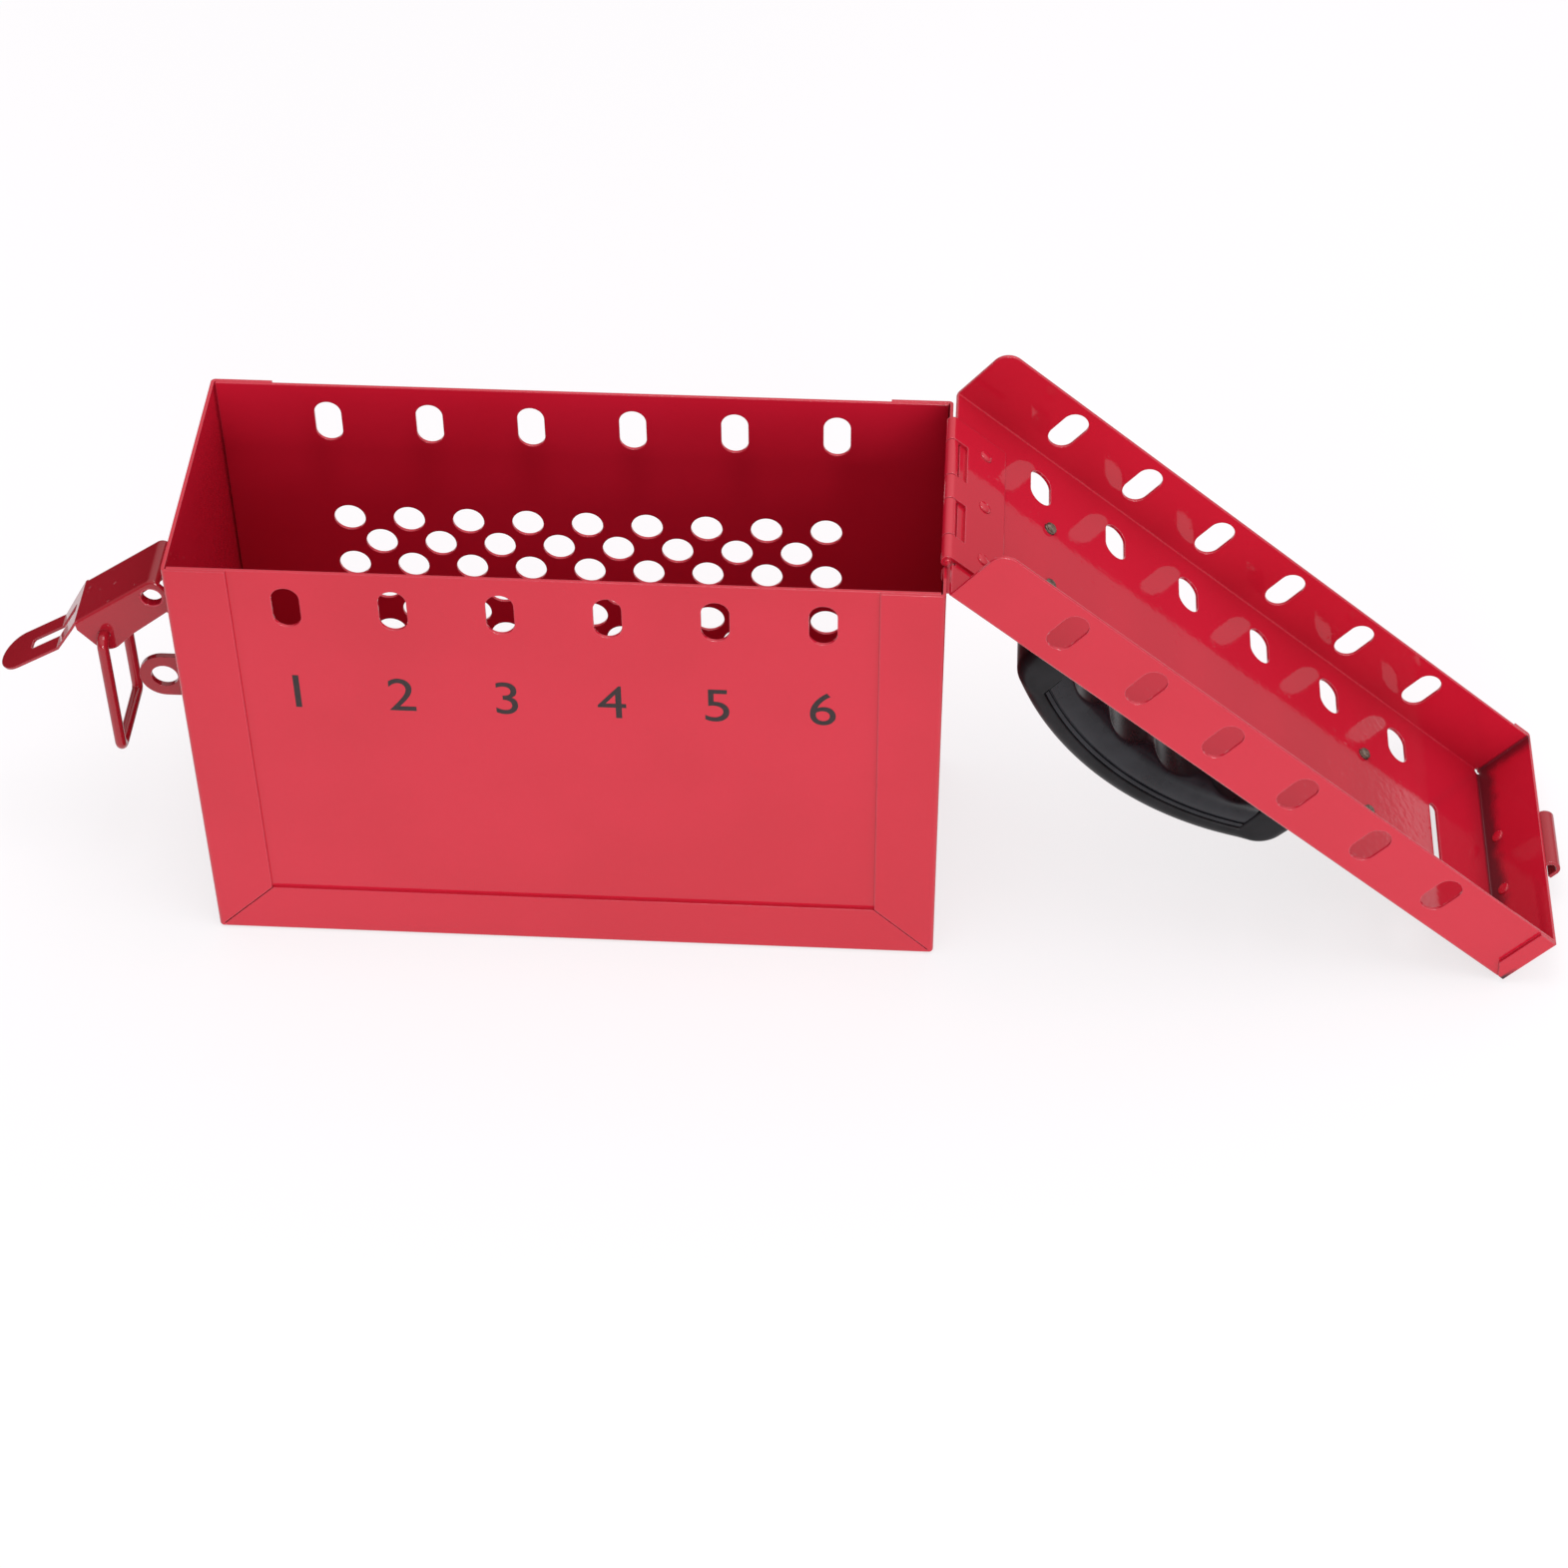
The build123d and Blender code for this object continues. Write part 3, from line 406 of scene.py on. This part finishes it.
# Carry handle: an arch with thick rounded edges on two feet, and a soft pad inside it
handle = {
    "centreU": 110.4, "height": 47.6, "halfWidth": 14.0,
    "shoulder": 55.6, "shoulderDepth": 31.3, "cornerRadius": 10.0, "halfLength": 58.0,
    "rim": 6.3, "openingHalf": 42.3, "outerRound": 4.5, "innerRound": 0.9,
    "footInner": 50.0, "footOuter": 80.0, "footHalfWidth": 19.0, "footCorner": 6.0,
    "footRings": [(0.0, 0.0), (0.0, 2.6), (0.25, 3.3), (0.8, 3.8), (1.7, 4.0)],
    "overPoints": 44, "restPoints": 6, "bendPoints": 22, "legPoints": 16, "outerPoints": 9, "innerPoints": 5,
}
pad = {
    "gap": 0.1, "halfWidth": 13.7, "gripDepth": 28.0, "endDepth": 18.0,
    "grooves": 4, "groovePitch": 19.0, "grooveRadius": 14.0, "grooveDepth": 2.8, "grooveRise": 2.0,
    "lip": 1.7, "sideRound": 7.5, "sideInset": 0.25, "rootRound": 0.10,
    "lipRound": [(0.0, 0.5), (0.15, 0.15), (0.5, 0.0)],
    "lipLine": [(-0.3, 0.0), (-0.08, 0.12), (0.0, 0.75), (0.4, 0.75), (0.5, 0.45), (0.8, 0.25)],
}


def archRadius():
    # the circle over the crown and both shoulders: (s^2 + rise^2) / (2 rise)
    rise = handle["height"] - handle["shoulderDepth"]
    return (handle["shoulder"] ** 2 + rise ** 2) / (2 * rise)


def archCurves():
    # side view from one foot to the other, as outer and inner lines of (along, depth): two arcs about one
    # centre, then the outer line turns its corner on a smaller arc while the inner waits, then both legs;
    # the corner's circle touches the leg and the big arc inside, so its middle lies on a line beside the leg
    radius, corner = archRadius(), handle["cornerRadius"]
    centre = handle["height"] - radius
    leg = np.array([handle["halfLength"] - handle["shoulder"], -handle["shoulderDepth"]])
    leg = leg / np.hypot(*leg)
    inward = np.array([leg[1], -leg[0]])
    start = np.array([handle["shoulder"], handle["shoulderDepth"] - centre]) + inward * corner
    along = -start @ leg - np.sqrt((start @ leg) ** 2 - start @ start + (radius - corner) ** 2)
    turn = start + leg * along
    meet, leave = np.arctan2(turn[0], turn[1]), np.arctan2(-inward[0], -inward[1])
    inner = radius - handle["rim"]
    last = np.arcsin(handle["openingHalf"] / inner)

    def arc(size, angles, middle=(0.0, 0.0)):
        return np.stack([middle[0] + size * np.sin(angles), middle[1] + size * np.cos(angles) + centre], -1)

    over = np.linspace(0, last, handle["overPoints"])
    rest = np.linspace(last, meet, handle["restPoints"])[1:]
    bend = np.linspace(meet, leave, handle["bendPoints"])[1:]
    down = np.linspace(0, 1, handle["legPoints"])[1:, None]
    outerBend = arc(corner, bend, turn)
    outer = np.concatenate([arc(radius, over), arc(radius, rest), outerBend,
                            outerBend[-1] * (1 - down) + np.array([handle["halfLength"], 0.0]) * down])
    knee = arc(inner, over)[-1]
    wait = np.broadcast_to(knee, (len(rest) + len(bend), 2))
    innerLine = np.concatenate([arc(inner, over), wait,
                                knee * (1 - down) + np.array([handle["openingHalf"], 0.0]) * down])
    flip = np.array([-1.0, 1.0])
    return (np.concatenate([outer[:0:-1] * flip, outer]),
            np.concatenate([innerLine[:0:-1] * flip, innerLine]))


def quarter(radius, start, count):
    # a quarter turn as (cosine part, sine part), starting at a multiple of a right angle
    angle = (start + np.linspace(0, 1, count)) * pi / 2
    return radius * np.cos(angle), radius * np.sin(angle)


def makeArch():
    # the section is a rounded rectangle between the inner and outer lines; its corners keep their size
    outer, inner = archCurves()
    half, big, small = handle["halfWidth"], handle["outerRound"], handle["innerRound"]
    many, few = handle["outerPoints"], handle["innerPoints"]
    pieces = []
    for atOuter, radius, start, side, count in ((0, small, 2, -1, few), (1, big, 3, -1, many),
                                                (1, big, 0, 1, many), (0, small, 1, 1, few)):
        dx, dy = quarter(radius, start, count)
        pieces.append((np.full(count, atOuter), dx + (radius if not atOuter else -radius),
                       side * (half - radius) + dy))
    atOuter, offset, across = (np.concatenate(column) for column in zip(*pieces))
    thickness = np.hypot(*(outer - inner).T)[:, None]
    share = (atOuter * thickness + offset) / thickness
    line = inner[:, None] + (outer - inner)[:, None] * share[..., None]
    v = np.broadcast_to(across, share.shape)
    grids = [capped(onLid(handle["centreU"] + line[..., 0], v, -line[..., 1]))]
    # each foot is a stack of rounded rectangles, given by inset and depth off the lid; the small start angle
    # keeps every cosine and sine off zero, so that each point has a corner
    angle = np.linspace(0, 2 * pi, 65)[:-1] + 0.01
    for side in (-1, 1):
        inset, depth = np.array(handle["footRings"]).T[..., None]
        corner = handle["footCorner"]
        halfU, halfV = (handle["footOuter"] - handle["footInner"]) / 2, handle["footHalfWidth"]
        u = np.sign(np.cos(angle)) * (halfU - corner) + (corner - inset) * np.cos(angle)
        v = np.sign(np.sin(angle)) * (halfV - corner) + (corner - inset) * np.sin(angle)
        middle = handle["centreU"] + side * (handle["footInner"] + handle["footOuter"]) / 2
        grids.append(capped(onLid(middle + u, v, -depth)))
    makePiece("handleArch", grids, "lid", blackPlastic, ["handle_grip"], 45)


def padDepths(along):
    # depth off the lid of the bar's finger side, a shallow arc d - r + sqrt(r^2 - x^2), and of the grooves,
    # circles cut into it
    end = handle["openingHalf"] - pad["gap"]
    sag = pad["gripDepth"] - pad["endDepth"]
    radius = (end ** 2 + sag ** 2) / (2 * sag)
    bar = pad["gripDepth"] - radius + np.sqrt(radius ** 2 - along ** 2)
    groove = np.zeros_like(bar)
    for index in range(pad["grooves"]):
        fromMiddle = index - (pad["grooves"] - 1) / 2
        floor = pad["gripDepth"] + pad["grooveDepth"] - pad["grooveRise"] * fromMiddle ** 2
        reach = np.clip(1 - ((along - fromMiddle * pad["groovePitch"]) / pad["grooveRadius"]) ** 2, 0, None)
        groove = np.maximum(groove, floor - pad["grooveRadius"] * (1 - np.sqrt(reach)))
    return bar, groove


def makePad():
    # the section runs from the arch's inner line to the finger side: a lip, a thin moulded line, then a side
    # that rolls over into the bar; the grooves are cut straight across, so the greater depth is kept, and a
    # small term rounds the line where the two meet: (a + b + sqrt((a - b)^2 + e)) / 2
    end = handle["openingHalf"] - pad["gap"]
    along = np.linspace(-end, end, 171)
    inner = archRadius() - handle["rim"] - pad["gap"]
    outerDepth = handle["height"] - archRadius() + np.sqrt(inner ** 2 - along ** 2)
    bar, groove = padDepths(along)
    half, lip, roll, sunk = pad["halfWidth"], pad["lip"], pad["sideRound"], pad["sideInset"]
    foldDx, foldDy = quarter(roll, 0, 16)
    side = [(0, depth, half - inset) for depth, inset in pad["lipRound"]]
    side += [(0, lip + depth, half - inset) for depth, inset in pad["lipLine"]]
    side += [(1, -roll + dy, half - sunk - roll + dx) for dx, dy in zip(foldDx, foldDy)]
    atFinger, offset, across = np.array(side).T
    atFinger = np.concatenate([atFinger, atFinger[::-1]])
    offset = np.concatenate([offset, offset[::-1]])
    across = np.concatenate([across, -across[::-1]])
    rolled, cut = bar[:, None] - offset, groove[:, None]
    finger = 0.5 * (rolled + cut + np.sqrt((rolled - cut) ** 2 + pad["rootRound"]))
    depth = np.where(atFinger > 0, finger, outerDepth[:, None] - offset)
    points = onLid(handle["centreU"] + along[:, None], across, -depth)
    makePiece("handlePad", [capped(points)], "lid", softPlastic, ["handle_pad"], 50)


# Bail: round wire bent to a long loop, its feet turned in through the lever's ears
bail = {"radius": 1.8, "footY": 7.9, "halfSpan": 14.3, "length": 44.934,
        "eyeBend": 2.6, "nearBend": 3.2, "farBend": 2.0, "bendPoints": 14, "sides": 28}


def roundedPath(points, radii):
    # straight runs with an arc at each inner corner, from first to last about its middle:
    # (first sin((1 - t) s) + last sin(t s)) / sin s; the runs need only their ends
    points = np.asarray(points, float)
    path = [points[:1]]
    for before, corner, after, radius in zip(points, points[1:], points[2:], radii):
        back, ahead = before - corner, after - corner
        back, ahead = back / np.hypot(*back), ahead / np.hypot(*ahead)
        half = np.arccos(back @ ahead) / 2
        middle = corner + (back + ahead) / np.hypot(*(back + ahead)) * radius / np.sin(half)
        reach = radius / np.tan(half)
        first, last = corner + back * reach - middle, corner + ahead * reach - middle
        turn = np.linspace(0, 1, bail["bendPoints"])[:, None]
        spread = pi - 2 * half
        swept = first * np.sin((1 - turn) * spread) + last * np.sin(turn * spread)
        path.append(middle + swept / np.sin(spread))
    path.append(points[-1:])
    return np.concatenate(path)


def makeBail():
    # a circle carried along a path in the plane X = pivot; the plane's normal is one axis of each ring
    x, y, z = np.array(joints["bail_pivot"]["pos_m"]) / mm
    foot, span, drop = bail["footY"], bail["halfSpan"], z - bail["length"]
    path = roundedPath([(-foot, z), (-span, z), (-span, drop), (span, drop), (span, z), (foot, z)],
                       [bail["eyeBend"], bail["nearBend"], bail["farBend"], bail["eyeBend"]])
    ahead = np.gradient(path, axis=0)
    ahead /= np.hypot(*ahead.T)[:, None]
    angle = np.linspace(0, 2 * pi, bail["sides"], endpoint=False)
    side = np.sin(angle)[None, :] * bail["radius"]
    points = np.stack([np.broadcast_to(x + bail["radius"] * np.cos(angle), (len(path), bail["sides"])),
                       path[:, :1] - ahead[:, 1:] * side, path[:, 1:] + ahead[:, :1] * side], -1) * mm
    makePiece("bailLoop", [capped(points)], "bail", latchDarkerCoat, ["bail_wire"], 50)


# Slot numbers: plain figures printed under the front padlock slots
figures = {"texts": "123456", "slotPitch": 31.75, "height": 13.0, "middleZ": 104.0, "faceY": -44.5,
           "thickness": 0.03}


def makeFigures():
    # each figure is filled text, scaled to the height and set in the plane of the front face
    corners, faces, count = [], [], 0
    for index, text in enumerate(figures["texts"]):
        curve = bpy.data.curves.new("figure", "FONT")
        curve.body = text
        letter = bpy.data.objects.new("figure", curve)
        bpy.context.scene.collection.objects.link(letter)
        bpy.context.view_layer.update()
        flat = bpy.data.meshes.new_from_object(letter.evaluated_get(bpy.context.evaluated_depsgraph_get()))
        place = np.array([corner.co for corner in flat.vertices])
        size = figures["height"] / np.ptp(place[:, 1])
        middle = (place.max(0) + place.min(0)) / 2
        x = (place[:, 0] - middle[0]) * size + (index - 2.5) * figures["slotPitch"]
        z = (place[:, 1] - middle[1]) * size + figures["middleZ"]
        corners.append(np.stack([x, np.full(len(x), figures["faceY"] - figures["thickness"]), z], -1) * mm)
        faces += [tuple(vertex + count for vertex in face.vertices) for face in flat.polygons]
        count += len(place)
        bpy.data.objects.remove(letter)
    mesh = bpy.data.meshes.new("slotFigures")
    mesh.from_pydata(np.concatenate(corners), [], faces)
    addPiece("slotFigures", mesh, "body", blackInk)


makeRivets()
makeScrews()
makeArch()
makePad()
makeBail()
makeFigures()
print("stage 3: rivets, screws, handle, bail and figures")


# Camera at the photograph's view, from a fit to the hole and slot patterns; place in metres
view = {
    "place": (0.1152, -0.8324, 0.8391),
    "forward": (-0.0505, 0.6919, -0.7202),
    "down": (0.0377, -0.7193, -0.6937),
    "focalPixels": 3601.2,
    "centrePixels": (755.0, 905.4),
    "framePixels": 1571.0,
    "sensor": 36.0,
    "clipEnd": 20.0,
}


def makeCamera():
    lens = bpy.data.cameras.new("photoCamera")
    lens.sensor_width = view["sensor"]
    lens.lens = view["focalPixels"] / view["framePixels"] * view["sensor"]
    half = view["framePixels"] / 2
    lens.shift_x = (half - view["centrePixels"][0]) / view["framePixels"]
    lens.shift_y = (view["centrePixels"][1] - half) / view["framePixels"]
    lens.clip_end = view["clipEnd"]
    camera = bpy.data.objects.new("photoCamera", lens)
    bpy.context.scene.collection.objects.link(camera)
    back = -Vector(view["forward"]).normalized()
    up = -Vector(view["down"])
    up = (up - back * up.dot(back)).normalized()
    right = up.cross(back)
    turn = Matrix((right, up, back)).transposed().to_4x4()
    camera.matrix_world = Matrix.Translation(view["place"]) @ turn
    bpy.context.scene.camera = camera


# Studio: a white sheet under pale surroundings, darker behind on the left, one low softbox in front and a
# small one close above. Metres and watts; ramps are on the direction's own X, Y and Z
studio = {
    "sheetWhite": (1.0, 0.995, 1.0), "sheetGlow": 1.00, "sheetShare": 0.72, "sheetCloth": (0.88, 0.83, 0.87),
    "sheetHalf": 1.6, "sheetZ": -0.0003,
    "lowLeft": 0.03, "lowRight": 0.42, "highLeft": 0.86, "highRight": 1.34, "frontGain": 0.08,
    "rightRamp": (-0.55, 0.60), "upRamp": (0.05, 0.70), "backRamp": (-0.9, 0.1),
}
lamps = {
    "keySoftbox": {"place": (0.40, -2.16, 0.45), "target": (0.05, 0, 0.08), "size": 0.60, "power": 23.0},
    "topSoftbox": {"place": (0.12, -0.10, 1.00), "target": (0.10, 0, 0.10), "size": 0.40, "power": 2.6},
}


def makeSheet():
    # stays white for the camera and in reflections, and still takes a soft shadow
    sheet = Finish(bpy.data.materials.new("whiteSheet"))
    path = sheet.tree.nodes.new("ShaderNodeLightPath")
    seen = Wire(sheet, path.outputs["Is Camera Ray"])
    glossy = Wire(sheet, path.outputs["Is Glossy Ray"])
    through = Wire(sheet, path.outputs["Is Transmission Ray"])
    white = sheet.add("ShaderNodeEmission", {}, {"Color": (*studio["sheetWhite"], 1.0),
                                                 "Strength": studio["sheetGlow"]})
    cloth = sheet.add("ShaderNodeBsdfDiffuse", {}, {"Color": (*studio["sheetCloth"], 1.0)})
    share = seen.most(glossy).most(through) * studio["sheetShare"]
    mixed = sheet.add("ShaderNodeMixShader", {}, {0: share, 1: cloth, 2: white})
    sheet.add("ShaderNodeOutputMaterial", {}, {"Surface": mixed})
    half = studio["sheetHalf"]
    mesh = bpy.data.meshes.new("floor")
    mesh.from_pydata([(-half, -half, 0), (half, -half, 0), (half, half, 0), (-half, half, 0)], [],
                     [(0, 1, 2, 3)])
    floor = bpy.data.objects.new("floor", mesh)
    floor.location = (0, 0, studio["sheetZ"])
    mesh.materials.append(sheet.owner)
    bpy.context.scene.collection.objects.link(floor)


def makeLamps():
    for name, look in lamps.items():
        lamp = bpy.data.lights.new(name, "AREA")
        lamp.shape = "RECTANGLE"
        lamp.size = lamp.size_y = look["size"]
        lamp.energy = look["power"]
        holder = bpy.data.objects.new(name, lamp)
        holder.location = look["place"]
        holder.rotation_mode = "QUATERNION"
        aim = Vector(look["target"]) - Vector(look["place"])
        holder.rotation_quaternion = aim.to_track_quat("-Z", "Y")
        bpy.context.scene.collection.objects.link(holder)


def makeSurroundings():
    # brightness rises with height, from left to right, and towards the front
    world = bpy.data.worlds.new("studio")
    bpy.context.scene.world = world
    sky = Finish(world)
    x, y, z = sky.split(sky.add("ShaderNodeTexCoord", out=0))
    right, up = x.ramp(*studio["rightRamp"]), z.ramp(*studio["upRamp"])
    low = right * (studio["lowRight"] - studio["lowLeft"]) + studio["lowLeft"]
    high = right * (studio["highRight"] - studio["highLeft"]) + studio["highLeft"]
    level = low + up * (high - low) + (1 - y.ramp(*studio["backRamp"])) * studio["frontGain"]
    glow = sky.add("ShaderNodeBackground", {}, {"Color": (1.0, 1.0, 1.0, 1.0), "Strength": level})
    sky.add("ShaderNodeOutputWorld", {}, {"Surface": glow})


makeCamera()
makeSheet()
makeSurroundings()
makeLamps()
print("stage 4: camera, floor and light")

bpy.context.scene.view_settings.view_transform = "Standard"
